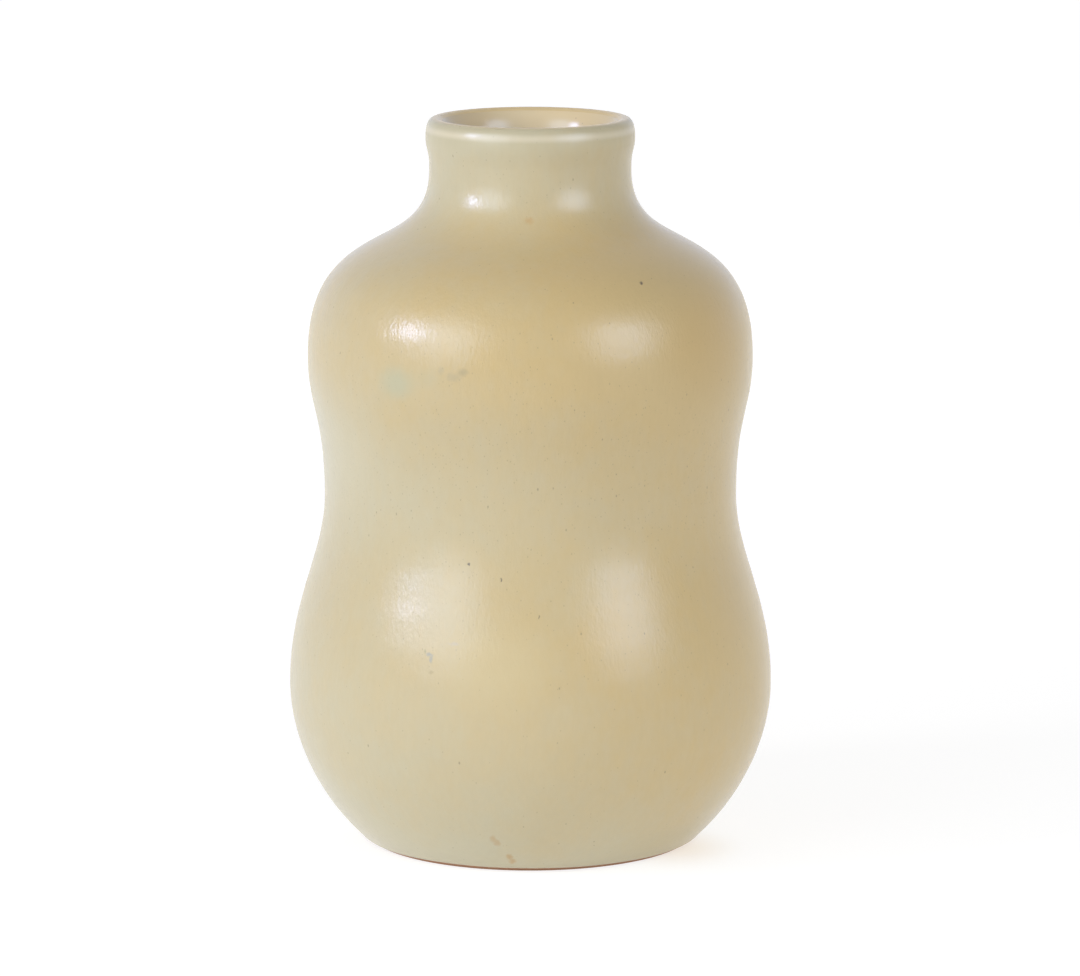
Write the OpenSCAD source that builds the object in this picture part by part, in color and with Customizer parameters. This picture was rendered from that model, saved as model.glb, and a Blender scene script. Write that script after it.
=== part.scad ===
// Gourd vase, thrown in stoneware: a full belly, a soft waist, a round shoulder
// and a short flared neck with a rolled lip, standing on a turned foot ring.
// A matt glaze coats the outside down to the foot, and a liner glaze the inside.
// Millimetres, +Z up, origin at the centre of the ring that the vase stands on.

/* [Heights] */
// Bare clay showing between the table and the lower edge of the glaze
bare_h = 0.9; // [0.5:0.1:3]
// Lower edge of the glaze up to the widest part of the belly
belly_h = 42.6; // [38:0.2:50]
// Belly up to the narrowest part of the waist
waist_h = 52.8; // [46:0.2:60]
// Waist up to the widest part of the shoulder
shoulder_h = 38.2; // [34:0.2:46]
// Shoulder up to the narrowest part of the neck
neck_h = 51.4; // [46:0.2:58]
// Neck up to the widest part of the lip
flare_h = 8.6; // [6:0.2:12]
// Widest part of the lip up to its crest
lip_h = 5.5; // [4:0.1:7]

/* [Diameters] */
// Lower edge of the glaze
foot_d = 92.6; // [84:0.2:98]
// Widest part of the belly
belly_d = 133.2; // [126:0.2:142]
// Narrowest part of the waist
waist_d = 113.4; // [104:0.2:118]
// Widest part of the shoulder
shoulder_d = 122.2; // [116:0.2:130]
// Narrowest part of the neck
neck_d = 55.2; // [46:0.2:60]

/* [Lip] */
// How far the widest part of the lip stands out past the neck
lip_out = 1; // [0.4:0.1:3]
// Widest part of the lip in to its crest
lip_in = 2.8; // [2.2:0.1:3.6]
// How far under its widest part the round of the lip begins, in degrees
lip_tuck = 25; // [10:1:35]
// Crest of the lip down to the straight throat, on the inside
mouth_h = 9; // [7:0.1:12]
// How far past the crest the outer glaze runs in over the lip, in degrees
lip_wrap = 25; // [10:1:45]

/* [Roundness of the outline] */
// Angle of the wall above the table where it leaves the foot, in degrees
foot_angle = 41.6; // [36:0.2:50]
// How long the wall keeps that angle, as a share of the height to the belly
foot_round = 0.43; // [0.3:0.01:0.55]
// Fullness of the belly below its widest part
belly_round_below = 0.32; // [0.2:0.01:0.5]
// Fullness of the belly above its widest part
belly_round_above = 0.44; // [0.3:0.01:0.6]
// Softness of the waist below its narrowest part
waist_round_below = 0.32; // [0.2:0.01:0.5]
// Softness of the waist above its narrowest part
waist_round_above = 0.58; // [0.4:0.01:0.7]
// Fullness of the shoulder below its widest part
shoulder_round_below = 0.36; // [0.2:0.01:0.5]
// Fullness of the shoulder above its widest part
shoulder_round_above = 0.77; // [0.6:0.01:0.85]
// Softness of the curve from the shoulder into the neck
neck_round = 0.5; // [0.35:0.01:0.6]
// Softness of the flare above the neck
flare_round = 0.53; // [0.3:0.01:0.7]

/* [Wall] */
// Thickness of the clay wall
wall_t = 5; // [4:0.1:6]
// Thickness of the glaze, outside and inside
glaze_t = 0.4; // [0.3:0.05:0.6]
// Thickness of the clay floor at the centre
floor_t = 6.5; // [5:0.1:9]
// Fullness of the inside wall below the belly
bowl_round = 0.74; // [0.55:0.01:0.8]
// Flatness of the inside floor
floor_round = 0.82; // [0.5:0.01:0.88]

/* [Throwing marks on the inside] */
// Height of the ridges left by the fingers
throw_ridge = 0.3; // [0:0.05:0.6]
// Ridge to ridge up the wall
throw_pitch = 9; // [7:0.5:14]

/* [Turned foot] */
// Width of the flat ring that the vase stands on
ring_w = 5.5; // [4:0.1:8]
// Softening of the outer edge of the ring
arris = 1; // [0.5:0.1:1.5]
// Height of the recess inside the ring
recess_h = 4; // [3:0.1:6]
// How far the inner face of the ring leans from upright, in degrees
recess_lean = 25; // [5:1:40]
// Hollow curve between the ring and the recess
recess_fillet = 2; // [1:0.1:2.5]
// Depth of the grooves left by the turning tool
turn_groove = 0.25; // [0:0.05:0.4]
// Groove to groove across the recess
turn_pitch = 5; // [4:0.5:8]

/* [Fineness] */
// Length of the steps along the long curves
step = 1.8; // [1.4:0.1:3]
// Length of the steps over the throwing ridges and the turning grooves
ridge_step = 1.2; // [1:0.1:2]
// Length of the steps round the lip
lip_step = 0.9; // [0.6:0.1:1.5]
// Length of the steps round the small curves of the foot ring
ring_step = 0.5; // [0.3:0.1:0.8]

/* [Hidden] */
$fn = 144;

belly_z = bare_h + belly_h;
waist_z = belly_z + waist_h;
shoulder_z = waist_z + shoulder_h;
neck_z = shoulder_z + neck_h;
lip_z = neck_z + flare_h;
crest_z = lip_z + lip_h;

// From the outer face of the outer glaze to the inner face of the liner glaze
skin_t = wall_t + 2 * glaze_t;
throat_r = neck_d / 2 - skin_t;
bowl_r = belly_d / 2 - skin_t;
floor_z = recess_h + floor_t + glaze_t;

// A curve is four points: its two ends and the two handles between them
function at(c, t) = pow(1 - t, 3) * c[0] + 3 * pow(1 - t, 2) * t * c[1]
    + 3 * (1 - t) * t * t * c[2] + pow(t, 3) * c[3];
function heading(c, t) = pow(1 - t, 2) * (c[1] - c[0])
    + 2 * (1 - t) * t * (c[2] - c[1]) + t * t * (c[3] - c[2]);
function unit(v) = v / norm(v);
function right_of(v) = unit([v[1], -v[0]]);

// A skin is a list of [point, direction out of the clay], and it leaves its end to the next one
function along(c, size) = let (n = ceil(norm(c[3] - c[0]) / size))
    [for (i = [0 : n - 1]) [at(c, i / n), right_of(heading(c, i / n))]];
function oval(centre, rx, rz, from, to, size) =
    let (n = ceil((rx + rz) * abs(to - from) / 90 / size))
    [for (i = [0 : n - 1]) let (a = from + (to - from) * i / n)
        [centre + [rx * cos(a), rz * sin(a)], unit([rz * cos(a), rx * sin(a)])]];
function points(skin, out = 0) = [for (s = skin) s[0] + out * s[1]];
function reversed(list) = [for (i = [len(list) - 1 : -1 : 0]) list[i]];

// Curve between two levels of the outline, upright at both ends
function level_curve(r0, z0, r1, z1, below, above) =
    [[r0, z0], [r0, z0 + below * (z1 - z0)], [r1, z1 - above * (z1 - z0)], [r1, z1]];

foot_pull = foot_round * belly_h;
foot_curve = [
    [foot_d / 2, bare_h],
    [foot_d / 2 + foot_pull * cos(foot_angle), bare_h + foot_pull * sin(foot_angle)],
    [belly_d / 2, belly_z - belly_round_below * belly_h],
    [belly_d / 2, belly_z]
];
waist_curve = level_curve(belly_d / 2, belly_z, waist_d / 2, waist_z, belly_round_above, waist_round_below);
shoulder_curve =
    level_curve(waist_d / 2, waist_z, shoulder_d / 2, shoulder_z, waist_round_above, shoulder_round_below);
neck_curve = level_curve(shoulder_d / 2, shoulder_z, neck_d / 2, neck_z, shoulder_round_above, neck_round);

// The lip is part of one ellipse outside the crest and part of another inside it
crest_r = neck_d / 2 + lip_out - lip_in;
lip_centre = [crest_r, lip_z];
lip_foot = lip_centre + [lip_in * cos(lip_tuck), -lip_h * sin(lip_tuck)];
lip_foot_rise = lip_foot[1] - neck_z;
flare_curve = [
    [neck_d / 2, neck_z],
    [neck_d / 2, neck_z + flare_round * lip_foot_rise],
    lip_foot - (1 - flare_round) * lip_foot_rise * unit([lip_in * sin(lip_tuck), lip_h * cos(lip_tuck)]),
    lip_foot
];
mouth_centre = [crest_r, crest_z - mouth_h];
mouth_w = crest_r - throat_r;

outer_skin = concat(
    along(foot_curve, step),
    along(waist_curve, step),
    along(shoulder_curve, step),
    along(neck_curve, step),
    along(flare_curve, step),
    oval(lip_centre, lip_in, lip_h, -lip_tuck, 90, lip_step),
    oval(mouth_centre, mouth_w, mouth_h, 90, 90 + lip_wrap, lip_step)
);

// The inside follows the outside a wall away, with a ridge at every turn of the wheel.
// The ridges fade out from the shoulder to the neck.
wall_down = concat(
    along(reversed(neck_curve), ridge_step),
    along(reversed(shoulder_curve), ridge_step),
    along(reversed(waist_curve), ridge_step)
);
function ridge(z) = throw_ridge * min(1, (neck_z - z) / neck_h)
    * (1 - cos(360 * (z - belly_z) / throw_pitch)) / 2;
bowl_curve = [
    [bowl_r, belly_z],
    [bowl_r, belly_z - bowl_round * (belly_z - floor_z)],
    [floor_round * bowl_r, floor_z],
    [0, floor_z]
];
inner_skin = concat(
    oval(mouth_centre, mouth_w, mouth_h, 90 + lip_wrap, 180, lip_step),
    [[[throat_r, mouth_centre[1]], [-1, 0]]],
    [for (s = wall_down) [s[0] + (skin_t + ridge(s[0][1])) * s[1], s[1]]],
    along(bowl_curve, step),
    [[[0, floor_z], [0, 1]]]
);

// Underside, from the centre of the recess out to the lower edge of the glaze.
// The grooves of the turning tool get shallower towards the ring.
clay_edge = points([outer_skin[0]], -glaze_t)[0];
ring_out = clay_edge[0] - clay_edge[1] / tan(foot_angle) - arris;
ring_in = ring_out - ring_w;
fillet_foot_z = recess_h - recess_fillet * (1 - sin(recess_lean));
fillet_centre = [
    ring_in - fillet_foot_z * tan(recess_lean) - recess_fillet * cos(recess_lean),
    recess_h - recess_fillet
];
function groove(r) = turn_groove * (1 - cos(360 * r / turn_pitch)) / 2 * (1 - r / fillet_centre[0]);
recess_steps = ceil(fillet_centre[0] / ridge_step);
arris_curve = [[ring_out, 0], [ring_out + arris, 0], [ring_out + arris, 0], clay_edge];
underside = concat(
    [for (i = [0 : recess_steps - 1]) let (r = fillet_centre[0] * i / recess_steps)
        [r, recess_h + groove(r)]],
    points(oval(fillet_centre, recess_fillet, recess_fillet, 90, recess_lean, ring_step)),
    [fillet_centre + recess_fillet * [cos(recess_lean), sin(recess_lean)], [ring_in, 0]],
    points(along(arris_curve, ring_step))
);

module thrown(profile) {
    rotate_extrude() polygon(profile);
}
module coat(skin) {
    thrown(concat(points(skin), reversed(points(skin, -glaze_t))));
}

module clay_body() {
    color([0.70, 0.52, 0.42])
        thrown(concat(underside, points(outer_skin, -glaze_t), points(inner_skin, -glaze_t)));
}

module outer_glaze() {
    color([0.80, 0.74, 0.56]) coat(concat(outer_skin, [inner_skin[0]]));
}

module inner_glaze() {
    color([0.82, 0.72, 0.52]) coat(inner_skin);
}

clay_body();
outer_glaze();
inner_glaze();
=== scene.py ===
import math

import bpy
import numpy as np
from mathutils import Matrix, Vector


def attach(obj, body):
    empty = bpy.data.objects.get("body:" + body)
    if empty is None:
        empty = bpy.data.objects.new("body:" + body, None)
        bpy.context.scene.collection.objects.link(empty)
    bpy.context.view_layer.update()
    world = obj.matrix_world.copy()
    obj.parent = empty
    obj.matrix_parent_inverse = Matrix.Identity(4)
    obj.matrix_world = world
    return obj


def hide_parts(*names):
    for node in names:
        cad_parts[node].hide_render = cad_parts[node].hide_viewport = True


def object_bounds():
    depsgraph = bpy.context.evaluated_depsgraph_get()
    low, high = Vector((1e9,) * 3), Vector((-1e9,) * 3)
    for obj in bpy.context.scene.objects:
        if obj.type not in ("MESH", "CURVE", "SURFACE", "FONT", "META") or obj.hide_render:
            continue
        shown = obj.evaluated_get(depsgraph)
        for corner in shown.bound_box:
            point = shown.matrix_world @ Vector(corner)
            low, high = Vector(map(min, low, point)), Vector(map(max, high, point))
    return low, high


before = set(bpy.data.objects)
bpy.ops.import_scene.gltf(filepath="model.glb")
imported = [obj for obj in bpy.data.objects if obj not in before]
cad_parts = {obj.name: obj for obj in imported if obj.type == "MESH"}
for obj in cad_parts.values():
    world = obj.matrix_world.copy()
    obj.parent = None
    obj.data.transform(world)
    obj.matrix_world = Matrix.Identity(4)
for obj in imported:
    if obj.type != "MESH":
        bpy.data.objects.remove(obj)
cadLow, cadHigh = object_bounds()
print("frame loaded:", sorted(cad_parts))

# All lengths are in metres. Angles round the vase are azimuths in degrees: 0 is the side
# that faces the camera (-Y) and 90 is the right side (+X).

# Outline of the vase, from the lower edge of the glaze up to the crest of the lip
outline = {
    "footRadius": 0.0463,
    "glazeStart": 0.0009,       # bare clay below this height
    "footAngle": 41.6,          # slope of the wall where it leaves the foot, degrees
    "footPull": 0.43,           # how long the wall keeps that slope, share of the belly's height
    "bellyRadius": cadHigh.x,
    "bellyHeight": 0.0435,
    "waistRadius": 0.0567,
    "waistHeight": 0.0963,
    "shoulderRadius": 0.0611,
    "shoulderHeight": 0.1345,
    "neckRadius": 0.0276,
    "neckHeight": 0.1859,
    "lipOut": 0.001,            # lip proud of the neck
    "lipIn": 0.0028,            # widest part of the lip in to the crest
    "lipHeight": 0.1945,
    "lipSquareness": 2.6,       # 2 is an ellipse, and more is fuller towards its corner
    "lipTuck": 25,              # start of the lip's round below its widest part, degrees
    "crestHeight": cadHigh.z,
    "mouthDepth": 0.009,        # crest down to the straight throat
    "glazeWrap": 25,            # outer glaze past the crest, degrees
}

# Fullness of each stretch of the outline, at its lower and its upper end
fullness = {
    "belly": 0.32,
    "waist": (0.44, 0.32),
    "shoulder": (0.58, 0.36),
    "neck": (0.77, 0.5),
    "flare": 0.53,
}

wall = {
    "clay": 0.005,
    "glaze": 0.0004,
    "floorTop": 0.0109,         # glazed floor inside
    "bowlFullness": 0.74,
    "floorFlatness": 0.82,
}

columns = 360                   # points round the vase
creaseAngle = 60                # edges that turn by more than this many degrees look sharp


# Cubic curve: four handles weighted by (1-t)^3, 3(1-t)^2 t, 3(1-t) t^2 and t^3, for t even in 0 to 1
def cubic(handles, count=240):
    t = np.linspace(0, 1, count, endpoint=False)[:, None]
    p = np.asarray(handles, float)
    return (1 - t) ** 3 * p[0] + 3 * (1 - t) ** 2 * t * p[1] + 3 * (1 - t) * t ** 2 * p[2] + t ** 3 * p[3]


# Part of an ellipse: centre plus (width cos a, height sin a), for a even from start to end in degrees.
# Squareness n over 2 raises cos a and sin a to the power 2/n, which fills out its corners.
def ellipse(centre, width, height, start, end, squareness=2, count=240):
    a = np.radians(np.linspace(start, end, count, endpoint=False))
    across, up = [np.sign(v) * np.abs(v) ** (2 / squareness) for v in (np.cos(a), np.sin(a))]
    return np.stack([centre[0] + width * across, centre[1] + height * up], axis=1)


# Cubic curve that is upright at both ends: its handles lie straight over and under the ends
def levelCurve(low, high, below, above):
    rise = high[1] - low[1]
    return cubic([low, (low[0], low[1] + below * rise), (high[0], high[1] - above * rise), high])


# Normals of a line of (radius, height) points: its direction turned a quarter to the right
def normalsOf(line):
    along = np.gradient(line, axis=0)
    along /= np.linalg.norm(along, axis=1)[:, None]
    return np.stack([along[:, 1], -along[:, 0]], axis=1)


# A line with the distance from its start at each point, and its normals. Repeated points go.
def measured(line):
    steps = np.linalg.norm(np.diff(line, axis=0), axis=1)
    line = line[np.r_[True, steps > 1e-7]]
    length = np.r_[0, np.cumsum(np.linalg.norm(np.diff(line, axis=0), axis=1))]
    return {"length": length, "points": line, "normals": normalsOf(line)}


# Distances along a line: even steps of its length plus bendRoom for each radian that it has turned
def stations(line, count, bendRoom=0.006):
    turn = np.linalg.norm(np.diff(line["normals"], axis=0), axis=1)
    effort = line["length"] + bendRoom * np.r_[0, np.cumsum(turn)]
    return np.interp(np.linspace(0, effort[-1], count), effort, line["length"])


# Line of the outside: foot, belly, waist, shoulder, neck and flare as cubic curves, then the lip
# as parts of three ellipses
def outsideLine():
    o = outline
    foot = (o["footRadius"], o["glazeStart"])
    belly = (o["bellyRadius"], o["bellyHeight"])
    waist = (o["waistRadius"], o["waistHeight"])
    shoulder = (o["shoulderRadius"], o["shoulderHeight"])
    neck = (o["neckRadius"], o["neckHeight"])
    rise = belly[1] - foot[1]
    slope = math.radians(o["footAngle"])
    pull = o["footPull"] * rise
    footHandle = (foot[0] + pull * math.cos(slope), foot[1] + pull * math.sin(slope))
    bellyHandle = (belly[0], belly[1] - fullness["belly"] * rise)
    tuck = math.radians(o["lipTuck"])
    lipRise = o["crestHeight"] - o["lipHeight"]
    crest = crestRadius()
    start = np.array([crest + o["lipIn"] * math.cos(tuck), o["lipHeight"] - lipRise * math.sin(tuck)])
    flareRise = start[1] - neck[1]
    lean = np.array([o["lipIn"] * math.sin(tuck), lipRise * math.cos(tuck)])
    lean /= np.linalg.norm(lean)
    flareHandle = start - (1 - fullness["flare"]) * flareRise * lean
    mouthCentre = (crest, o["crestHeight"] - o["mouthDepth"])
    mouthWidth = crest - throatRadius()
    return np.concatenate([
        cubic([foot, footHandle, bellyHandle, belly]),
        levelCurve(belly, waist, *fullness["waist"]),
        levelCurve(waist, shoulder, *fullness["shoulder"]),
        levelCurve(shoulder, neck, *fullness["neck"]),
        cubic([neck, (neck[0], neck[1] + fullness["flare"] * flareRise), flareHandle, start]),
        ellipse((crest, o["lipHeight"]), o["lipIn"], lipRise, -o["lipTuck"], 0),
        ellipse((crest, o["lipHeight"]), o["lipIn"], lipRise, 0, 90, o["lipSquareness"]),
        ellipse(mouthCentre, mouthWidth, o["mouthDepth"], 90, 90 + o["glazeWrap"]),
    ])


# Glaze, clay and glaze
def skinThickness():
    return wall["clay"] + 2 * wall["glaze"]


# The neck less its wall
def throatRadius():
    return outline["neckRadius"] - skinThickness()


# The neck plus how far the lip stands out, less the lip's own half thickness
def crestRadius():
    return outline["neckRadius"] + outline["lipOut"] - outline["lipIn"]


# Line of the inside, from the join in the mouth down: the mouth's ellipse, the straight throat, the
# outside moved in by the wall down to the belly, and one cubic curve for the bowl and the floor
def insideLine():
    o = outline
    crest = crestRadius()
    mouthCentre = (crest, o["crestHeight"] - o["mouthDepth"])
    outside = measured(outsideLine())
    inward = outside["points"] - skinThickness() * outside["normals"]
    level = outside["points"][:, 1]
    side = inward[(level <= o["neckHeight"]) & (level >= o["bellyHeight"])][::-1]
    bowl = o["bellyRadius"] - skinThickness()
    top = wall["floorTop"]
    deep = o["bellyHeight"] - top
    return np.concatenate([
        ellipse(mouthCentre, crest - throatRadius(), o["mouthDepth"], 90 + o["glazeWrap"], 180),
        [(throatRadius(), mouthCentre[1])],
        side,
        cubic([(bowl, o["bellyHeight"]), (bowl, o["bellyHeight"] - wall["bowlFullness"] * deep),
               (wall["floorFlatness"] * bowl, top), (0, top)]),
        [(0, top)],
    ])


# Points on a surface of revolution: the line's point at each distance, moved along its normal by
# lift, then turned about Z by the angle, so x = r sin a and y = -r cos a
def turned(line, distance, angle, lift):
    def along(values):
        return np.interp(distance, line["length"], values)

    radius = along(line["points"][:, 0]) + lift * along(line["normals"][:, 0])
    height = along(line["points"][:, 1]) + lift * along(line["normals"][:, 1])
    radius, height, angle = np.broadcast_arrays(radius, height, angle)
    return np.stack([radius * np.sin(angle), -radius * np.cos(angle), height], axis=-1)


# Even angles round the axis, as one row
def roundAngles():
    return np.linspace(0, 2 * math.pi, columns, endpoint=False)[None, :]


# A value that runs smoothly from 0 at low to 1 at high: t t (3 - 2 t)
def smooth(value, low, high):
    t = np.clip((value - low) / (high - low), 0, 1)
    return t * t * (3 - 2 * t)


# Closed mesh from a grid of points. The columns close round the axis. The rows close on each other,
# or, where the grid has poles, its first and last rows are one point each.
def closedMesh(name, grid, poles):
    rows = grid.shape[0]
    quadRows = rows if not poles else rows - 3
    points = grid.reshape(-1, 3) if not poles else np.concatenate(
        [grid[1:-1].reshape(-1, 3), grid[:1, 0], grid[-1:, 0]])
    index = np.arange(columns)
    after = np.roll(index, -1)
    low = np.arange(quadRows)[:, None] * columns
    high = low + columns if poles else (low + columns) % (rows * columns)
    quads = np.stack([low + index, low + after, high + after, high + index], axis=-1).reshape(-1, 4)
    faces = quads.tolist()
    if poles:
        firstPole, lastPole = len(points) - 2, len(points) - 1
        lastRow = (rows - 3) * columns
        faces += np.stack([np.full(columns, firstPole), after, index], axis=-1).tolist()
        faces += np.stack([lastRow + index, lastRow + after, np.full(columns, lastPole)], axis=-1).tolist()
    mesh = bpy.data.meshes.new(name)
    mesh.from_pydata(points.tolist(), [], faces)
    mesh.polygons.foreach_set("use_smooth", np.ones(len(mesh.polygons), bool))
    mesh.set_sharp_from_angle(angle=math.radians(creaseAngle))
    mesh.update()
    piece = bpy.data.objects.new(name, mesh)
    bpy.context.scene.collection.objects.link(piece)
    print(name, len(mesh.vertices), "points", len(mesh.polygons), "faces")
    return piece


# Node with its settings, and its sockets set to a value or linked to another socket
def addNode(tree, kind, sockets=None, **settings):
    node = tree.nodes.new(kind)
    for key, value in settings.items():
        setattr(node, key, value)
    for key, value in (sockets or {}).items():
        if isinstance(value, bpy.types.NodeSocket):
            tree.links.new(value, node.inputs[key])
        else:
            node.inputs[key].default_value = value
    return node


# One step of arithmetic on two values
def maths(tree, operation, first, second=0.0):
    return addNode(tree, "ShaderNodeMath", {0: first, 1: second}, operation=operation).outputs[0]


# One step of arithmetic on two vectors. A length or a dot product comes out as a value.
def vectorMaths(tree, operation, first, second=(0, 0, 0)):
    node = addNode(tree, "ShaderNodeVectorMath", {0: first, 1: second}, operation=operation)
    return node.outputs["Value" if operation in ("LENGTH", "DOT_PRODUCT") else "Vector"]


# The x, y and z of a vector
def axesOf(tree, vector):
    return addNode(tree, "ShaderNodeSeparateXYZ", {0: vector}).outputs


# Value moved from one range to another, held at its ends
def remap(tree, value, fromLow, fromHigh, toLow=0.0, toHigh=1.0, kind="LINEAR"):
    return addNode(tree, "ShaderNodeMapRange", {
        "Value": value, "From Min": fromLow, "From Max": fromHigh, "To Min": toLow, "To Max": toHigh,
    }, interpolation_type=kind).outputs[0]


# Noise moved to a range: margin goes to low and 1 - margin to high, because most of it lies between
def graded(tree, pattern, low, high, margin=0.3):
    return remap(tree, pattern, margin, 1 - margin, low, high)


# Value held between 0 and 1
def held(tree, value):
    return maths(tree, "MINIMUM", maths(tree, "MAXIMUM", value, 0), 1)


# Display colour from 0 to 255 as the linear colour of a socket
def paint(red, green, blue):
    def linear(value):
        value /= 255
        return value / 12.92 if value <= 0.04045 else ((value + 0.055) / 1.055) ** 2.4
    return (linear(red), linear(green), linear(blue), 1.0)


def mixColours(tree, factor, first, second, blend="MIX"):
    return addNode(tree, "ShaderNodeMix", {0: factor, 6: first, 7: second},
                   data_type="RGBA", blend_type=blend).outputs[2]


# Colour times a brightness
def shaded(tree, colour, tone):
    grey = addNode(tree, "ShaderNodeCombineColor", {0: tone, 1: tone, 2: tone}).outputs[0]
    return mixColours(tree, 1.0, colour, grey, "MULTIPLY")


# Colour with another one over it, as strong as the mask times the strength
def covered(tree, colour, mask, strength, over):
    return mixColours(tree, maths(tree, "MULTIPLY", mask, strength), colour, paint(*over))


# Object position, squeezed or stretched along each axis. A pattern on squeezed heights comes out tall.
def placed(tree, scale=(1, 1, 1), shift=(0, 0, 0)):
    return addNode(tree, "ShaderNodeMapping", {
        "Vector": addNode(tree, "ShaderNodeTexCoord").outputs["Object"],
        "Scale": scale,
        "Location": shift,
    }).outputs[0]


# Noise with features about this size, from 0 to 1
def noise(tree, position, size, detail=2.0, roughness=0.5):
    return addNode(tree, "ShaderNodeTexNoise", {
        "Vector": position, "Scale": 1 / size, "Detail": detail, "Roughness": roughness,
    }).outputs[0]


# Value read from stops over the height of the vase
def overHeight(tree, height, stops):
    ramp = addNode(tree, "ShaderNodeValToRGB", {
        "Fac": maths(tree, "DIVIDE", height, outline["crestHeight"]),
    })
    elements = ramp.color_ramp.elements
    ramp.color_ramp.interpolation = "B_SPLINE"
    while len(elements) < len(stops):
        elements.new(1.0)
    for element, (level, value) in zip(elements, stops):
        element.position = level / outline["crestHeight"]
        element.color = (value, value, value, 1.0)
    return ramp.outputs[0]


# Small dots at random points in space: 1 inside a dot and 0 outside. share is how many of the cells
# hold one, stretch makes them taller than wide, smallest is the radius of the smallest dot as a share
# of the largest, and solid is how much of a dot is at full strength.
def dots(tree, cell, radius, share, stretch=1.0, shift=(0, 0, 0), smallest=0.45, solid=0.45):
    cells = addNode(tree, "ShaderNodeTexVoronoi", {
        "Vector": placed(tree, (1, 1, 1 / stretch), shift), "Scale": 1 / cell,
    })
    luck = addNode(tree, "ShaderNodeSeparateColor", {0: cells.outputs["Color"]}).outputs
    reach = remap(tree, luck[1], 0, 1, smallest * radius / cell, radius / cell)
    away = maths(tree, "DIVIDE", cells.outputs["Distance"], reach)
    inside = remap(tree, away, 1, solid, 0, 1, "SMOOTHSTEP")
    return maths(tree, "MULTIPLY", inside, maths(tree, "LESS_THAN", luck[0], share))


# Soft-edged blot round a point: 1 within the inner share of its size, 0 past its size
def blot(tree, position, centre, size, inner=0.15):
    offset = vectorMaths(tree, "SUBTRACT", position, centre)
    away = vectorMaths(tree, "LENGTH", vectorMaths(tree, "DIVIDE", offset, size))
    return remap(tree, away, 1, inner, 0, 1, "SMOOTHSTEP")


# Point on the outside at an azimuth in degrees and a height
def onOutside(azimuth, height):
    line = outsideLine()
    upward = line[:, 1].argsort()
    radius = np.interp(height, line[upward, 1], line[upward, 0])
    a = math.radians(azimuth)
    return (radius * math.sin(a), -radius * math.cos(a), height)


# A relief height in metres as a normal
def bumped(tree, height):
    return addNode(tree, "ShaderNodeBump", {"Height": height, "Strength": 1.0, "Distance": 1.0}).outputs[0]


# Principled surface wired to a material output
def surface(tree, sockets):
    shader = addNode(tree, "ShaderNodeBsdfPrincipled", sockets)
    addNode(tree, "ShaderNodeOutputMaterial", {"Surface": shader.outputs[0]})


# Material with an empty node tree
def newMaterial(name):
    material = bpy.data.materials.new(name)
    material.use_nodes = True
    material.node_tree.nodes.clear()
    return material, material.node_tree


# Both glazes are the same glass: how strongly it mirrors, and the tint of what it mirrors
glass = {
    "IOR": 1.6,
    "Specular Tint": (0.65, 0.8, 1.0, 1.0),
}

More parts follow.
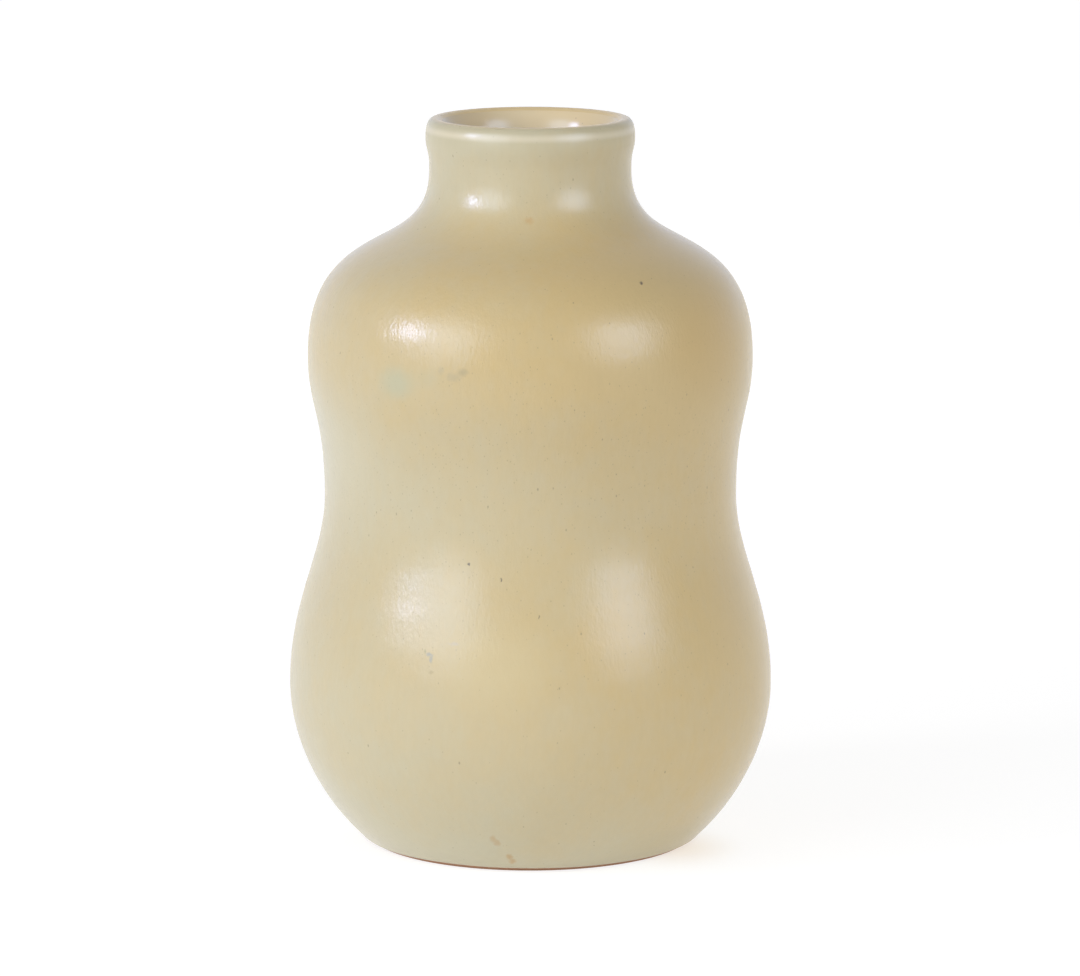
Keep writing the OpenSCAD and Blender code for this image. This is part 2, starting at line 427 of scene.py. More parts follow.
outerGlaze = {
    "ochre": (211, 186, 132),
    "celadon": (203, 194, 163),
    # Painted light and shade: more celadon makes the lit -X side paler, and less leaves the shaded +X side
    # deeper ochre.
    "paintedSideLight": (0.46, -0.46),     # celadon added at -X and at +X
    "celadonAmount": [              # height, amount: the glaze is greener where it lies thick
        (0.000, 0.95), (0.012, 0.80), (0.028, 0.48), (0.050, 0.40), (0.070, 0.27), (0.088, 0.42),
        (0.104, 0.54), (0.120, 0.30), (0.134, 0.06), (0.148, 0.06), (0.164, 0.10), (0.174, 0.32),
        (0.183, 0.76), (0.190, 0.58), (0.197, 1.00),
    ],
    "waviness": (-0.006, 0.006),    # how far the bands wander down and up
    "wavinessSize": 0.03,
    "cloudSize": 0.022,
    "cloudShift": (0.3, 0.1, 0),
    "cloudAmount": (-0.15, 0.15),   # celadon taken away or added
    "mottleSize": 0.0035,
    "mottleSqueeze": 0.6,
    "mottleAmount": (-0.09, 0.09),
    "brightness": 1.075,
    "shade": [                      # height, share of that brightness
        (0.000, 1.00), (0.050, 0.976), (0.085, 0.958), (0.110, 0.929), (0.134, 0.916), (0.150, 0.922),
        (0.172, 0.946), (0.190, 0.905), (0.200, 0.905),
    ],
    "grainSize": 0.0016,
    "grainSqueeze": 0.35,
    "grainTone": (0.988, 1.01),     # brightness of the darkest and the palest grain
    "crestColour": (226, 202, 154),
    "crestWidth": (0.0017, 0.0003),  # the thin glaze turns ochre between these distances outside the crest
    # The pale line over the lip is partly the glaze breaking there and partly a painted highlight.
    "breakAndHighlightColour": (240, 229, 205),
    "breakAndHighlightHeight": 0.1973,          # pale line where the glaze breaks over the edge of the lip, and a painted highlight along it
    "breakAndHighlightWidth": 0.0015,
    "breakAndHighlightAmount": 0.4,
    "speckColour": (128, 112, 92),
    "speckShare": [                 # height, share of the cells that hold a speck
        (0.000, 0.03), (0.050, 0.04), (0.085, 0.14), (0.105, 0.26), (0.130, 0.2), (0.150, 0.08),
        (0.175, 0.08), (0.196, 0.05),
    ],
    "speckCell": 0.0019,
    "speckRadius": 0.00034,
    "speckStretch": 1.7,
    "speckStrength": 0.42,
    "dustShare": 2.6,               # finer and fainter specks, this many times as likely
    "dustCell": 0.0009,
    "dustRadius": 0.00023,
    "dustStretch": 1.5,
    "dustShift": (0.1, 0.3, 0.2),
    "dustStrength": 0.27,
    "ripplesPerMetre": 900.0,       # unevenness of the edges of the single marks
    "rippleReach": 0.0011,
    "streakSize": 0.0009,
    "streakSqueeze": 0.4,
    "streakRelief": 0.000106,
    "peelSize": 0.0012,
    "peelRelief": 0.000002,
    "lineScale": (0.04, 0.04, 1),   # stretches a noise into level lines
    "linePitch": 0.0013,
    "lineRelief": 0.000002,
    "reliefAmount": [               # height, share of the relief: it's faint where the wall lies flat
        (0.000, 0.40), (0.030, 0.60), (0.100, 0.80), (0.140, 1.00), (0.156, 1.00), (0.164, 0.20),
        (0.174, 0.30), (0.180, 0.80), (0.189, 0.50), (0.196, 0.10),
    ],
    "roughness": (0.20, 0.27),
    "lipLevel": (0.188, 0.194),     # between these heights the glaze gets thinner
    "lipRoughness": 0.08,           # how much rougher it is above them, up to its upper roughness
    "lipGloss": (0.5, 0.4),         # how well it mirrors below and above them
}

# Single marks on the glaze: azimuth, height, half width and half height, colour and strength
glazeMarks = {
    # The deeper ochre on the +X shoulder is painted shade, for that side lying in shade.
    "paintedShadeOchreShoulder": (54.0, 0.1430, 0.0220, 0.0230, (203, 170, 106), 0.5),
    "paleBelly": (-7.0, 0.0610, 0.0210, 0.0170, (224, 206, 160), 0.45),
    "ochreFoot": (50.0, 0.0040, 0.0240, 0.0100, (205, 190, 146), 0.6),
    "paleWaist": (-70.0, 0.1130, 0.0260, 0.0260, (210, 204, 177), 0.58),
    "greenBloom": (-35.7, 0.1346, 0.0070, 0.0062, (190, 190, 160), 0.65),
    "greenBloomUpper": (-26.6, 0.1366, 0.0056, 0.0040, (194, 190, 156), 0.2),
    "greyBloom": (-16.9, 0.1388, 0.0022, 0.0014, (164, 152, 122), 0.42),
    "greyBloomLow": (-19.4, 0.1374, 0.0030, 0.0018, (178, 166, 136), 0.4),
    "greyBloomLeft": (-22.9, 0.1390, 0.0014, 0.0016, (186, 174, 144), 0.4),
    "nickTop": (-26.0, 0.0634, 0.0004, 0.0008, (170, 164, 124), 0.7),
    "nickBody": (-24.9, 0.0627, 0.0013, 0.0008, (178, 174, 162), 0.85),
    "nickFoot": (-24.3, 0.0615, 0.0008, 0.0015, (178, 174, 160), 0.8),
    "nickTail": (-24.0, 0.0582, 0.0010, 0.0009, (188, 170, 132), 0.6),
    "greyScuff": (-18.6, 0.0659, 0.0022, 0.0008, (206, 194, 176), 0.5),
    "shoulderSpeck": (34.9, 0.1604, 0.0006, 0.0007, (112, 98, 80), 0.95),
    "bellySpeck": (-16.4, 0.0865, 0.0005, 0.0006, (118, 106, 90), 0.95),
    "lowerSpeck": (-7.6, 0.0829, 0.0004, 0.0007, (122, 108, 88), 0.9),
    "middleSpeck": (2.2, 0.0735, 0.0004, 0.0008, (132, 116, 92), 0.8),
    "neckRust": (-0.6, 0.1755, 0.0018, 0.0013, (204, 168, 118), 0.6),
    "footRust": (-6.4, 0.0054, 0.0013, 0.0019, (200, 164, 112), 0.75),
    "footRustLow": (-5.7, 0.0038, 0.0013, 0.0018, (200, 164, 112), 0.7),
    "footRustUpper": (-10.4, 0.0114, 0.0014, 0.0018, (200, 168, 122), 0.6),
    "footRustMiddle": (-9.5, 0.0101, 0.0014, 0.0018, (200, 168, 122), 0.6),
}


# Ochre where the glaze is thin and celadon where it is thick. The amount of celadon is its amount at
# the level, plus clouds, fine mottling and a slope from -X to +X, which is painted light and shade:
# paler on the lit -X side and deeper ochre on the shaded +X side. The brightness is its share at the
# height times a fine upright grain.
def bandedGlaze(tree, position, height, level):
    g = outerGlaze
    belly = outline["bellyRadius"]
    cloud = noise(tree, placed(tree, shift=g["cloudShift"]), g["cloudSize"], 3.0)
    mottle = noise(tree, placed(tree, (1, 1, g["mottleSqueeze"])), g["mottleSize"], 3.0, 0.6)
    grain = noise(tree, placed(tree, (1, 1, g["grainSqueeze"])), g["grainSize"], 3.0, 0.6)
    amount = overHeight(tree, level, g["celadonAmount"])
    for added in (
        graded(tree, cloud, *g["cloudAmount"], 0.25),
        graded(tree, mottle, *g["mottleAmount"], 0.25),
        # painted light and shade: the celadon slope from the lit -X side to the shaded +X side
        remap(tree, axesOf(tree, position)[0], -belly, belly, *g["paintedSideLight"]),
    ):
        amount = maths(tree, "ADD", amount, added)
    colour = mixColours(tree, held(tree, amount), paint(*g["ochre"]), paint(*g["celadon"]))
    tone = maths(tree, "MULTIPLY", graded(tree, grain, *g["grainTone"]), g["brightness"])
    tone = maths(tree, "MULTIPLY", tone, overHeight(tree, height, g["shade"]))
    return shaded(tree, colour, tone)


# Iron specks and finer dust between them, more at some levels than at others
def speckledGlaze(tree, level, colour):
    g = outerGlaze
    share = overHeight(tree, level, g["speckShare"])
    specks = dots(tree, g["speckCell"], g["speckRadius"], share, g["speckStretch"])
    colour = covered(tree, colour, specks, g["speckStrength"], g["speckColour"])
    share = maths(tree, "MULTIPLY", share, g["dustShare"])
    dust = dots(tree, g["dustCell"], g["dustRadius"], share, g["dustStretch"], g["dustShift"])
    return covered(tree, colour, dust, g["dustStrength"], g["speckColour"])


# Thin glaze over the lip: ochre towards the crest, by the distance from the axis, and a pale line
# that fades with the height above or below it. The pale line is partly the glaze breaking over the
# edge and partly a painted highlight along the lip.
def brokenAndHighlightedGlaze(tree, position, height, colour):
    g = outerGlaze
    radius = vectorMaths(tree, "LENGTH", vectorMaths(tree, "MULTIPLY", position, (1, 1, 0)))
    outside = maths(tree, "SUBTRACT", radius, crestRadius())
    crest = remap(tree, outside, *g["crestWidth"], 0, 1, "SMOOTHSTEP")
    colour = mixColours(tree, crest, colour, paint(*g["crestColour"]))
    off = maths(tree, "ABSOLUTE", maths(tree, "SUBTRACT", height, g["breakAndHighlightHeight"]))
    # pale line that is partly a painted highlight along the lip
    breakAndHighlight = remap(tree, off, g["breakAndHighlightWidth"], 0, 0, g["breakAndHighlightAmount"], "SMOOTHSTEP")
    return mixColours(tree, breakAndHighlight, colour, paint(*g["breakAndHighlightColour"]))


# Single marks, each a blot on the outside, twice as deep as wide because the wall curves away. The
# position is shaken by a fine ripple, which makes their edges uneven.
def markedGlaze(tree, position, colour):
    g = outerGlaze
    ripple = addNode(tree, "ShaderNodeTexNoise", {
        "Vector": position, "Scale": g["ripplesPerMetre"], "Detail": 2.0,
    }).outputs["Color"]
    shake = vectorMaths(tree, "SUBTRACT", ripple, (0.5, 0.5, 0.5))
    shake = vectorMaths(tree, "MULTIPLY", shake, [g["rippleReach"]] * 3)
    shaken = vectorMaths(tree, "ADD", position, shake)
    for azimuth, height, halfWidth, halfHeight, markColour, strength in glazeMarks.values():
        mask = blot(tree, shaken, onOutside(azimuth, height), (halfWidth, 2 * halfWidth, halfHeight))
        colour = covered(tree, colour, mask, strength, markColour)
    return colour


# Relief of the glaze: upright streaks, fine peel and level lines, each times its depth, and all of it
# times its share at the height
def glazeRelief(tree, position, height, streaks):
    g = outerGlaze
    peel = noise(tree, position, g["peelSize"], 2.0)
    lines = noise(tree, placed(tree, g["lineScale"]), g["linePitch"], 1.0)
    relief = maths(tree, "MULTIPLY", streaks, g["streakRelief"])
    relief = maths(tree, "ADD", relief, maths(tree, "MULTIPLY", peel, g["peelRelief"]))
    relief = maths(tree, "ADD", relief, maths(tree, "MULTIPLY", lines, g["lineRelief"]))
    return maths(tree, "MULTIPLY", relief, overHeight(tree, height, g["reliefAmount"]))


# Satin glaze outside: banded with painted light and shade on its sides, speckled, broken over the
# lip with a painted highlight there, and marked. The streaks of its relief also make it rougher and
# smoother. The roughness stops at the upper end of its range, at the lip too, because the
# renderer's denoiser draws a jagged ring where it passes about 0.274.
def outerGlazeMaterial():
    g = outerGlaze
    material, tree = newMaterial("outerGlazeSatin")
    position = placed(tree)
    height = axesOf(tree, position)[2]
    wander = remap(tree, noise(tree, position, g["wavinessSize"], 1.0), 0, 1, *g["waviness"])
    level = maths(tree, "ADD", height, wander)
    colour = bandedGlaze(tree, position, height, level)
    colour = speckledGlaze(tree, level, colour)
    colour = brokenAndHighlightedGlaze(tree, position, height, colour)
    colour = markedGlaze(tree, position, colour)
    streaks = noise(tree, placed(tree, (1, 1, g["streakSqueeze"])), g["streakSize"], 2.0, 0.6)
    rougher = remap(tree, height, *g["lipLevel"], 0, g["lipRoughness"])
    roughness = maths(tree, "ADD", graded(tree, streaks, *g["roughness"]), rougher)
    surface(tree, {
        "Base Color": colour,
        "Roughness": maths(tree, "MINIMUM", roughness, g["roughness"][1]),
        "Specular IOR Level": remap(tree, height, *g["lipLevel"], *g["lipGloss"]),
        "Normal": bumped(tree, glazeRelief(tree, position, height, streaks)),
        **glass,
    })
    return material


linerGlaze = {
    "ochre": (236, 215, 174),
    "celadon": (222, 213, 184),
    "cloudSize": 0.018,
    "cloudShift": (0.7, 0.2, 0.4),
    "cloudAmount": (-0.1, 0.3),     # celadon in the clouds, where below 0 is none
    # Painted shade in the mouth: darker towards -X and towards both edges
    "side": (0.925, 1.045),         # brightness at -X and at +X of the mouth
    "edgeShade": 0.13,              # how much less there is at both
    "speckColour": (120, 104, 84),
    "speckCell": 0.0017,
    "speckRadius": 0.0004,
    "speckShare": 0.06,
    "speckStretch": 1.5,
    "speckShift": (0.2, 0, 0),
    "speckStrength": 0.6,
    "streakSize": 0.0007,
    "streakSqueeze": 0.3,
    "streakRelief": 0.000006,
    "roughness": (0.15, 0.22),
}


# Liner glaze: the same glaze poured thinner, so it is warmer and has fewer specks. Its brightness
# is painted shade: it slopes from -X to +X, less the edge's shade times (x / throat radius) squared,
# for the shade inside the mouth.
def linerGlazeMaterial():
    g = linerGlaze
    material, tree = newMaterial("linerGlazeSatin")
    position = placed(tree)
    cloud = noise(tree, placed(tree, shift=g["cloudShift"]), g["cloudSize"], 3.0)
    amount = held(tree, graded(tree, cloud, *g["cloudAmount"]))
    colour = mixColours(tree, amount, paint(*g["ochre"]), paint(*g["celadon"]))
    sideways = axesOf(tree, position)[0]
    # painted shade: darker towards -X and towards both edges of the mouth
    tone = remap(tree, sideways, -throatRadius(), throatRadius(), *g["side"])
    share = maths(tree, "DIVIDE", sideways, throatRadius())
    shade = maths(tree, "MULTIPLY", maths(tree, "MULTIPLY", share, share), g["edgeShade"])
    colour = shaded(tree, colour, maths(tree, "SUBTRACT", tone, shade))
    specks = dots(tree, g["speckCell"], g["speckRadius"], g["speckShare"], g["speckStretch"],
                  g["speckShift"])
    colour = covered(tree, colour, specks, g["speckStrength"], g["speckColour"])
    streaks = noise(tree, placed(tree, (1, 1, g["streakSqueeze"])), g["streakSize"], 2.0, 0.6)
    surface(tree, {
        "Base Color": colour,
        "Roughness": graded(tree, streaks, *g["roughness"]),
        "Normal": bumped(tree, maths(tree, "MULTIPLY", streaks, g["streakRelief"])),
        **glass,
    })
    return material


stoneware = {
    "clay": (176, 136, 106),
    "toasted": (184, 134, 102),     # iron drawn to the edge of the glaze
    "toastedLevel": (0.0002, 0.0012),
    "toastedAmount": (0.1, 0.8),    # at those two heights
    "cloudSize": 0.012,
    "cloudAmount": (-0.15, 0.25),   # toasted colour taken away or added
    "grog": (206, 182, 154),        # pale crushed clay
    "grogCell": 0.0011,
    "grogShare": 0.35,
    "grogShift": (0.5, 0, 0),
    "grogStrength": 0.55,
    "iron": (84, 62, 48),
    "ironCell": 0.0019,
    "ironShare": 0.2,
    "ironShift": (0, 0.4, 0),
    "ironStrength": 0.7,
    "grainRadius": 0.0004,          # of both
    "sandSize": 0.0005,
    "sandRelief": 0.00004,
    "roughness": (0.75, 0.95),
    "refraction": 1.45,
}


# Bare stoneware: mottled clay with pale grog and dark iron, toasted where the glaze ends, and sandy
def stonewareMaterial():
    g = stoneware
    material, tree = newMaterial("bareStoneware")
    position = placed(tree)
    cloud = noise(tree, position, g["cloudSize"], 4.0, 0.6)
    toasted = remap(tree, axesOf(tree, position)[2], *g["toastedLevel"], *g["toastedAmount"])
    toasted = maths(tree, "ADD", toasted, graded(tree, cloud, *g["cloudAmount"]))
    colour = mixColours(tree, held(tree, toasted), paint(*g["clay"]), paint(*g["toasted"]))
    grog = dots(tree, g["grogCell"], g["grainRadius"], g["grogShare"], shift=g["grogShift"])
    colour = covered(tree, colour, grog, g["grogStrength"], g["grog"])
    iron = dots(tree, g["ironCell"], g["grainRadius"], g["ironShare"], shift=g["ironShift"])
    colour = covered(tree, colour, iron, g["ironStrength"], g["iron"])
    sand = noise(tree, position, g["sandSize"], 3.0, 0.7)
    surface(tree, {
        "Base Color": colour,
        "Roughness": graded(tree, sand, *g["roughness"]),
        "IOR": g["refraction"],
        "Normal": bumped(tree, maths(tree, "MULTIPLY", sand, g["sandRelief"])),
    })
    return material


outerCoat = {
    "frontRows": 186,
    "backRows": 60,
    "edgeRows": 12,             # closer rows up to edgeTop, for the bead
    "edgeTop": 0.003,
    "noseLength": 0.00035,      # rounded lower edge of the glaze
    "rollHeight": 0.00010,      # bead where the glaze stopped running
    "rollAt": 0.0010,
    "rollWidth": 0.0006,
    "edgeSway": 0.00035,        # how unevenly the edge was wiped
    "swayWaves": (              # of the edge: depth, number round it, phase
        (1.0, 2, 0.6), (0.7, 5, 2.0), (0.4, 11, 0.0),
    ),
    "swayReach": 0.006,         # how far up the rows above follow it
    "throwingDepth": 0.00003,
    "throwingPitch": 0.0085,
    "outOfRound": 0.00006,
    "swells": (                 # of the wall: number round it, radians of phase per metre up, phase at 0
        (2, 25, 0.0), (3, -40, 1.3),
    ),
    "footFade": (0.004, 0.02),  # between these heights the relief grows
    "lipFade": (0.17, 0.188),   # and between these it fades
}


# Relief of the outside, never above the outline: a helix of throwing lines, depth times
# (1 + cos(2 pi z / pitch - a)) / 2, and two slow swells round the wall, faded out at foot and lip
def outsideRelief(height, angle):
    c = outerCoat
    lines = (1 + np.cos(2 * math.pi * height / c["throwingPitch"] - angle)) / 2
    swell = sum((np.cos(n * angle + climb * height + phase) for n, climb, phase in c["swells"]), 2) / 4
    fade = smooth(height, *c["footFade"]) * (1 - smooth(height, *c["lipFade"]))
    return -(c["throwingDepth"] * lines + c["outOfRound"] * swell) * fade


# Ring shell of glaze: the front follows the outside with its relief, its lower edge rounded as a
# quarter circle and thickened by a bell-shaped bead, and the back lies one glaze thickness in. The
# sway moves both up the wall by a sum of cosines of the angle, less and less with the distance.
def buildOuterCoat():
    c = outerCoat
    line = measured(outsideLine())
    angle = roundAngles()
    nose = c["noseLength"] * (1 - np.cos(np.radians(np.arange(0, 90, 10))))
    edge = np.linspace(c["noseLength"], c["edgeTop"], c["edgeRows"])
    front = stations(line, c["frontRows"])
    front = np.r_[nose, edge, front[front > 1.1 * c["edgeTop"]]][:, None]
    height = np.interp(front, line["length"], line["points"][:, 1])
    waves = sum((depth * np.cos(n * angle + phase) for depth, n, phase in c["swayWaves"]), 3)
    sway = c["edgeSway"] * waves / 5
    roundness = np.sqrt(1 - (1 - np.clip(front / c["noseLength"], 0, 1)) ** 2)
    roll = c["rollHeight"] * np.exp(-((front - c["rollAt"]) / c["rollWidth"]) ** 2)
    lift = outsideRelief(height, angle) + roll * roundness - wall["glaze"] * (1 - roundness)
    distance = front + sway * np.exp(-front / c["swayReach"])
    backLine = stations(line, c["backRows"])[::-1][:-1][:, None]
    backDistance = backLine + sway * np.exp(-backLine / c["swayReach"])
    grid = np.concatenate([
        turned(line, distance, angle, lift),
        turned(line, backDistance, angle, -wall["glaze"]),
    ])
    return closedMesh("outerGlazeCoat", grid, poles=False)


linerCoat = {
    "frontRows": 150,
    "backRows": 60,
    "ridge": 0.0003,
    "ridgePitch": 0.009,
    "floorFade": (0.02, 0.04),  # between these heights the ridges grow
}


# Relief of the inside: the throwing ridge climbs as a helix, ridge times
# (1 - cos(2 pi z / pitch - a)) / 2, and fades out towards the neck and the floor
def insideRelief(height, angle):
    c = linerCoat
    turn = 2 * math.pi * (height - outline["bellyHeight"]) / c["ridgePitch"] - angle
    reach = outline["neckHeight"] - outline["shoulderHeight"]
    fade = np.clip((outline["neckHeight"] - height) / reach, 0, 1) * smooth(height, *c["floorFade"])
    return c["ridge"] * fade * (1 - np.cos(turn)) / 2


# Bag of glaze: the back goes out from the middle of the floor and up to the join, and the front
# comes down again to the middle of the floor
def buildLinerCoat():
    c = linerCoat
    line = measured(insideLine())
    angle = roundAngles()
    front = stations(line, c["frontRows"])[:, None]
    back = stations(line, c["backRows"])[::-1][:, None]

    def lifted(distance, base):
        height = np.interp(distance, line["length"], line["points"][:, 1])
        return turned(line, distance, angle, base + insideRelief(height, angle))

    grid = np.concatenate([lifted(back, -wall["glaze"]), lifted(front, 0.0)])
    return closedMesh("linerGlazeCoat", grid, poles=True)


clay = {
    "footRows": 110,
    "outsideRows": 70,
    "insideRows": 70,
    "ringWidth": 0.0055,
    "arris": 0.001,
    "recess": 0.004,
    "recessLean": 25,
    "recessFillet": 0.002,
    "edgeSoftness": 0.0003,
    "evenStep": 0.00005,        # step at which the underside's line is softened
    "bendRoom": 0.012,          # how closely the rows stand where the line bends
    "groove": 0.00025,
    "groovePitch": 0.005,
    "grooveFade": (0.02, 0.034),  # between these radii the groove fades out
}


# Line of the underside from the axis out: flat recess, fillet, leaning inner face, flat ring and a
# round outer edge. It is resampled evenly and averaged over edgeSoftness, which softens its corners.
def undersideLine(edge):
    c = clay
    slope = math.tan(math.radians(outline["footAngle"]))
    ringOut = edge[0] - edge[1] / slope - c["arris"]
    ringIn = ringOut - c["ringWidth"]
    lean = math.radians(c["recessLean"])
    drop = c["recess"] - c["recessFillet"] * (1 - math.sin(lean))
    filletRadius = ringIn - drop * math.tan(lean) - c["recessFillet"] * math.cos(lean)
    centre = (filletRadius, c["recess"] - c["recessFillet"])
    corner = (ringOut + c["arris"], 0)
    line = np.concatenate([
        [(0, c["recess"]), (centre[0], c["recess"])],
        ellipse(centre, c["recessFillet"], c["recessFillet"], 90, c["recessLean"]),
        [(ringIn, 0)],
        cubic([(ringOut, 0), corner, corner, edge]),
        [edge],
    ])
    line = measured(line)
    step = c["evenStep"]
    even = np.arange(0, line["length"][-1], step)
    points = np.stack([np.interp(even, line["length"], line["points"][:, i]) for i in (0, 1)], axis=1)
    span = int(c["edgeSoftness"] / step)
    padded = np.pad(points, ((span, span), (0, 0)), "edge")
    window = np.ones(2 * span + 1) / (2 * span + 1)
    soft = np.stack([np.convolve(padded[:, i], window, "valid") for i in (0, 1)], axis=1)
    soft[0] = (0, c["recess"])
    return np.concatenate([soft[:1], soft[soft[:, 0] > 4 * step], [edge]])


# Clay from the middle of the underside out over the ring, up behind the outer glaze and down behind
# the liner. The turning groove is a spiral, groove times (1 - cos(2 pi r / pitch - a)) / 2.
def buildClayBody():
    c = clay
    outside = measured(outsideLine())
    inside = measured(insideLine())
    angle = roundAngles()
    edge = outside["points"][0] - wall["glaze"] * outside["normals"][0]
    under = measured(undersideLine(edge))
    footRows = stations(under, c["footRows"], c["bendRoom"])[:-1, None]
    radius = np.interp(footRows, under["length"], under["points"][:, 0])
    turn = 2 * math.pi * radius / c["groovePitch"] - angle
    fade = smooth(radius, 0, c["groovePitch"]) * (1 - smooth(radius, *c["grooveFade"]))
    groove = -c["groove"] * fade * (1 - np.cos(turn)) / 2
    outsideRows = stations(outside, c["outsideRows"])[:, None]
    insideRows = stations(inside, c["insideRows"])[1:, None]
    height = np.interp(insideRows, inside["length"], inside["points"][:, 1])
    grid = np.concatenate([
        turned(under, footRows, angle, groove),
        turned(outside, outsideRows, angle, -wall["glaze"]),
        turned(inside, insideRows, angle, insideRelief(height, angle) - wall["glaze"]),
    ])
    return closedMesh("clayBody", grid, poles=True)


# A piece rides on the pot's one body, takes its finish from a slot and stands for a CAD node
def place(piece, material, node):
    piece.data.materials.append(material)
    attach(piece, "root")
    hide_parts(node)


place(buildClayBody(), stonewareMaterial(), "clay_body")
place(buildOuterCoat(), outerGlazeMaterial(), "outer_glaze")
place(buildLinerCoat(), linerGlazeMaterial(), "inner_glaze")
print("pot built")

studio = {
    "ambient": 0.35,            # light from all round that the matt surfaces get
    "ambientSlope": (-0.05, -0.18, -0.02),  # how much more of it comes from +X, +Y and +Z
    "mirrored": (0.9, -0.45),   # how bright the surroundings look in the glaze, and the change upwards
    "mirroredBack": (1.08, 1.16, 1.36, 1.0),  # how many times as bright they look behind the pot
    "floorHalf": 12.0,
    "floorColour": 0.8,
    "floorLight": 0.18,         # light that the floor sheds besides what it reflects
    "floorGlow": (0.8, 0.9),    # what the camera sees of the floor in shadow, near the pot and far off
    "glowDistance": (0.4, 1.6),  # what near and far are
    "floorShade": 0.33,         # how much of the floor's own light and shade it sees
    "floorBounce": (0.91, 0.83, 0.74, 1.0),  # tint of the glow where the pot's right side lights the floor
    "bounceAt": (0.040, -0.018, 0),
    "bounceSize": (0.021, 0.028, 1),
    "lampAim": (0, 0, 0.12),
    "layers": (                 # size and share of each layer of a softbox
        (1.1, 0.3), (0.9, 0.3), (0.7, 0.25), (0.5, 0.15),
    ),
    "layerGap": 0.02,
    "evenSize": 0.85,           # size of an even lamp that gives as much light as the layers
}

# Softboxes: where they stand, their width and height, how bright and of what colour matt surfaces find
# them, how bright they look in the glaze in red, green and blue, and their shape
softboxes = {
    "leftPanel": {
        "azimuth": -45, "distance": 1.1, "height": 0.55, "size": (0.92, 0.84), "matt": 1.76,
        "colour": (0.96, 1.0, 1.06), "gloss": (1.57, 1.72, 1.98), "shape": "ELLIPSE",
    },
    "rightPanel": {
        "azimuth": 50, "distance": 1.1, "height": 0.55, "size": (0.92, 0.84), "matt": 1.76,
        "colour": (0.98, 1.0, 1.05), "gloss": (1.75, 1.90, 2.30), "shape": "ELLIPSE",
    },
    "leftLamp": {
        "azimuth": -67.5, "distance": 1.05, "height": 0.53, "size": (0.28, 0.29), "matt": 12.9,
        "colour": (1.0, 0.98, 1.02), "gloss": (8.1, 8.2, 11.2), "shape": "RECTANGLE",
    },
    "backFill": {
        "azimuth": 180, "distance": 1.1, "height": 0.60, "size": (1.0, 0.6), "matt": 1.5,
        "colour": (0.99, 1.0, 1.02), "gloss": None, "shape": "RECTANGLE",
    },
}


# Lamp that faces the middle of the pot, reach metres nearer to it than its stand. Its power is
# brightness times pi times its area, because a lamp's brightness is its power over pi and its area.
def addLamp(name, stand, reach, size, shape, brightness, colour, mirrored):
    lamp = bpy.data.lights.new(name, "AREA")
    lamp.shape = shape
    lamp.size, lamp.size_y = size
    area = size[0] * size[1] * (math.pi / 4 if shape == "ELLIPSE" else 1)
    lamp.energy = brightness * math.pi * area
    lamp.color = colour
    holder = bpy.data.objects.new(name, lamp)
    aim = Vector(studio["lampAim"]) - stand
    holder.location = stand + reach * aim.normalized()
    holder.rotation_euler = aim.to_track_quat("-Z", "Y").to_euler()
    holder.visible_camera = False
    holder.visible_diffuse = not mirrored
    holder.visible_glossy = mirrored
    bpy.context.scene.collection.objects.link(holder)


# One lamp for the matt surfaces, and for the glaze a stack of smaller and smaller ones, whose edge is soft
def addSoftbox(name, box):
    a = math.radians(box["azimuth"])
    stand = Vector((box["distance"] * math.sin(a), -box["distance"] * math.cos(a), box["height"]))
    size = [studio["evenSize"] * side for side in box["size"]]
    addLamp(name, stand, 0, size, box["shape"], box["matt"] / studio["evenSize"] ** 2, box["colour"], False)
    for layer, (scale, share) in enumerate(studio["layers"] if box["gloss"] else ()):
        size = [scale * side for side in box["size"]]
        addLamp(f"{name}Gloss{layer}", stand, studio["layerGap"] * (layer + 1), size, box["shape"],
                share / scale ** 2, box["gloss"], True)


# 1 for rays that see the studio as white: those of the camera, and those mirrored or let through
def seenRays(tree):
    path = addNode(tree, "ShaderNodeLightPath")
    seen = maths(tree, "MAXIMUM", path.outputs["Is Camera Ray"], path.outputs["Is Glossy Ray"])
    return maths(tree, "MAXIMUM", seen, path.outputs["Is Transmission Ray"])


# White world for the rays that see it. The light that it sheds is dimmer, and slopes with direction:
# ambient plus the slope times the direction. What the glaze mirrors of it gets dimmer upwards, and
# bluer and brighter behind the pot.
def buildWorld():
    world = bpy.data.worlds.new("studioWorld")
    world.use_nodes = True
    tree = world.node_tree
    tree.nodes.clear()
    direction = addNode(tree, "ShaderNodeTexCoord").outputs["Generated"]
    slope = vectorMaths(tree, "DOT_PRODUCT", direction, studio["ambientSlope"])
    back = maths(tree, "MAXIMUM", axesOf(tree, direction)[1], 0)
    up = maths(tree, "MAXIMUM", axesOf(tree, direction)[2], 0)
    glossy = addNode(tree, "ShaderNodeLightPath").outputs["Is Glossy Ray"]
    level, change = studio["mirrored"]
    mirrored = maths(tree, "ADD", level, maths(tree, "MULTIPLY", up, change))
    shown = remap(tree, glossy, 0, 1, 1.0, mirrored)
    strength = remap(tree, seenRays(tree), 0, 1, maths(tree, "ADD", slope, studio["ambient"]), shown)
    behind = maths(tree, "MULTIPLY", back, glossy)
    colour = mixColours(tree, behind, (1, 1, 1, 1), studio["mirroredBack"])
    background = addNode(tree, "ShaderNodeBackground", {"Color": colour, "Strength": strength})
    addNode(tree, "ShaderNodeOutputWorld", {"Surface": background.outputs[0]})
    bpy.context.scene.world = world


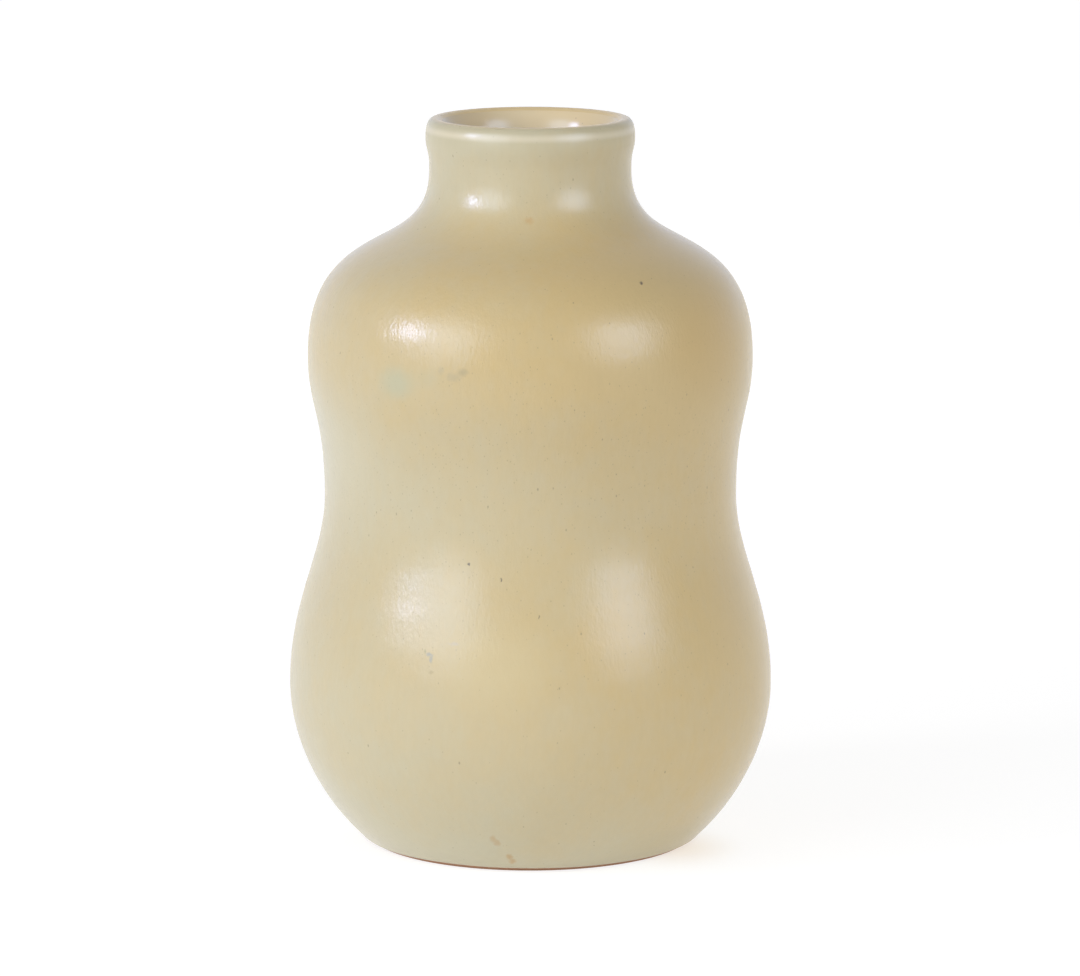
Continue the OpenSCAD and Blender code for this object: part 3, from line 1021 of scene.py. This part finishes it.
# White floor: a matt surface for the light, and for the rays that see it a pale glow plus part of
# that surface, so that it stays white and keeps a faint shadow. The glow is tinted where the pot
# throws its own colour on the floor. The underside lets everything through.
def buildFloor():
    half = studio["floorHalf"]
    corners = [(-half, -half, 0), (half, -half, 0), (half, half, 0), (-half, half, 0)]
    mesh = bpy.data.meshes.new("studioFloor")
    mesh.from_pydata(corners, [], [(0, 1, 2, 3)])
    floor = bpy.data.objects.new("studioFloor", mesh)
    bpy.context.scene.collection.objects.link(floor)
    material, tree = newMaterial("studioFloorWhite")
    tone = studio["floorColour"]
    share = studio["floorShade"]
    matt = addNode(tree, "ShaderNodeBsdfDiffuse", {"Color": (tone, tone, tone, 1)})
    shed = addNode(tree, "ShaderNodeEmission", {"Color": (1, 1, 1, 1), "Strength": studio["floorLight"]})
    shown = addNode(tree, "ShaderNodeBsdfDiffuse", {"Color": (share, share, share, 1)})
    bounce = blot(tree, placed(tree), studio["bounceAt"], studio["bounceSize"], 0.0)
    tint = mixColours(tree, bounce, (1, 1, 1, 1), studio["floorBounce"])
    away = vectorMaths(tree, "LENGTH", placed(tree))
    brightness = remap(tree, away, *studio["glowDistance"], *studio["floorGlow"])
    glow = addNode(tree, "ShaderNodeEmission", {"Color": tint, "Strength": brightness})
    lit = addNode(tree, "ShaderNodeAddShader", {0: matt.outputs[0], 1: shed.outputs[0]})
    seen = addNode(tree, "ShaderNodeAddShader", {0: glow.outputs[0], 1: shown.outputs[0]})
    above = addNode(tree, "ShaderNodeMixShader", {0: seenRays(tree), 1: lit.outputs[0], 2: seen.outputs[0]})
    back = addNode(tree, "ShaderNodeNewGeometry").outputs["Backfacing"]
    clear = addNode(tree, "ShaderNodeBsdfTransparent")
    both = addNode(tree, "ShaderNodeMixShader", {0: back, 1: above.outputs[0], 2: clear.outputs[0]})
    addNode(tree, "ShaderNodeOutputMaterial", {"Surface": both.outputs[0]})
    mesh.materials.append(material)


viewpoint = {
    "place": (0, -1.572, 0.378),
    "aim": (0.00265, 0, 0.0974),
    "lens": 193.2,
}


# Camera at the photograph's place, aimed at a point a little off the pot's axis
def buildCamera():
    lens = bpy.data.cameras.new("studioCamera")
    lens.lens = viewpoint["lens"]
    lens.sensor_width = 36
    camera = bpy.data.objects.new("studioCamera", lens)
    camera.location = viewpoint["place"]
    aim = Vector(viewpoint["aim"]) - camera.location
    camera.rotation_euler = aim.to_track_quat("-Z", "Y").to_euler()
    bpy.context.scene.collection.objects.link(camera)
    bpy.context.scene.camera = camera


for name, box in softboxes.items():
    addSoftbox(name, box)
buildWorld()
buildFloor()
buildCamera()
bpy.context.scene.view_settings.view_transform = "Standard"
print("studio built")
